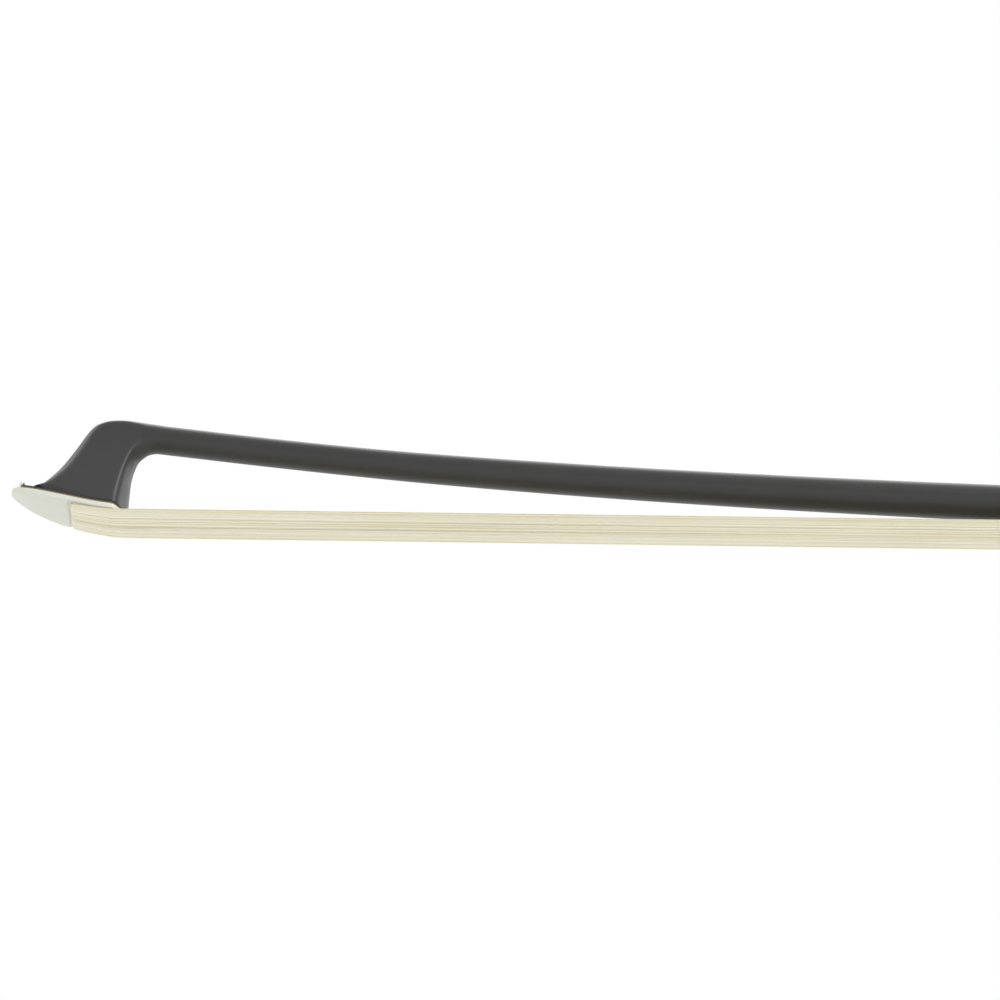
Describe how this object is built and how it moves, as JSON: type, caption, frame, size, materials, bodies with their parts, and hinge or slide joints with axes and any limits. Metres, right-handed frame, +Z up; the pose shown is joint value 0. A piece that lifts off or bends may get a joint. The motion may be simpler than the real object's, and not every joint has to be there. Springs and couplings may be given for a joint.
{
  "type": "violin bow",
  "caption": "Violin bow with a moulded black stick and head, a white tip plate, a flat ribbon of horsehair, a sliding frog and an octagonal tightening button.",
  "frame": {"origin": "centre of the bounding box in X and Y, at the height of the lowest point, which is the ferrule's lower front edge", "axes": "+X along the hair from the head to the button, +Y across the bow, +Z up from the hair towards the stick; the bow stands on its hair side"},
  "size_m": [0.7439, 0.0126, 0.0334],
  "materials": {
    "carbon": "satin",
    "ivory_plastic": "satin",
    "black_fibre": "matte",
    "maple": "matte",
    "horsehair": "satin",
    "thread": "matte",
    "ebony": "satin",
    "pearl": "polished",
    "nickel": "polished",
    "brass": "satin",
    "steel": "satin",
    "silver_wire": "polished",
    "leather": "satin"
  },
  "bodies": {
    "stick": {"stick": "carbon", "tip_plate": "ivory_plastic", "tip_liner": "black_fibre", "tip_plug": "maple", "tip_hair_knot": "thread", "hair_ribbon": "horsehair", "wire_winding": "silver_wire", "thumb_leather": "leather"},
    "frog": {"frog_body": "ebony", "ferrule": "nickel", "slide_pearl": "pearl", "slide_backing": "ebony", "heel_plate": "nickel", "heel_plate_pin_base": "nickel", "heel_plate_pin_back": "nickel", "underslide": "nickel", "underslide_pin_front": "nickel", "underslide_pin_back": "nickel", "eye_pearl_left": "pearl", "eye_pearl_right": "pearl", "eye_ring_left": "nickel", "eye_ring_right": "nickel", "frog_plug": "maple", "frog_hair_knot": "thread", "spread_wedge": "maple", "eyelet": "brass"},
    "screw": {"screw_shaft": "steel", "button_front_collar": "nickel", "button_core": "ebony", "button_end_collar": "nickel", "button_pearl_dot": "pearl"}
  },
  "joints": [
    {"name": "screw_turn", "type": "hinge", "parent": "stick", "child": "screw", "pos_m": [0.30298, 0, 0.02373], "axis": [-0.9969, 0, -0.0785], "range_deg": [-1080, 2160]},
    {"name": "frog_slide", "type": "slide", "parent": "stick", "child": "frog", "axis": [0.9969, 0, 0.0785], "range_m": [-0.0021, 0.0042], "deforming": ["hair_ribbon"]}
  ],
  "couplings": [
    {"joint": "screw_turn", "follows": "frog_slide", "rad_per_m": 8975.9}
  ]
}
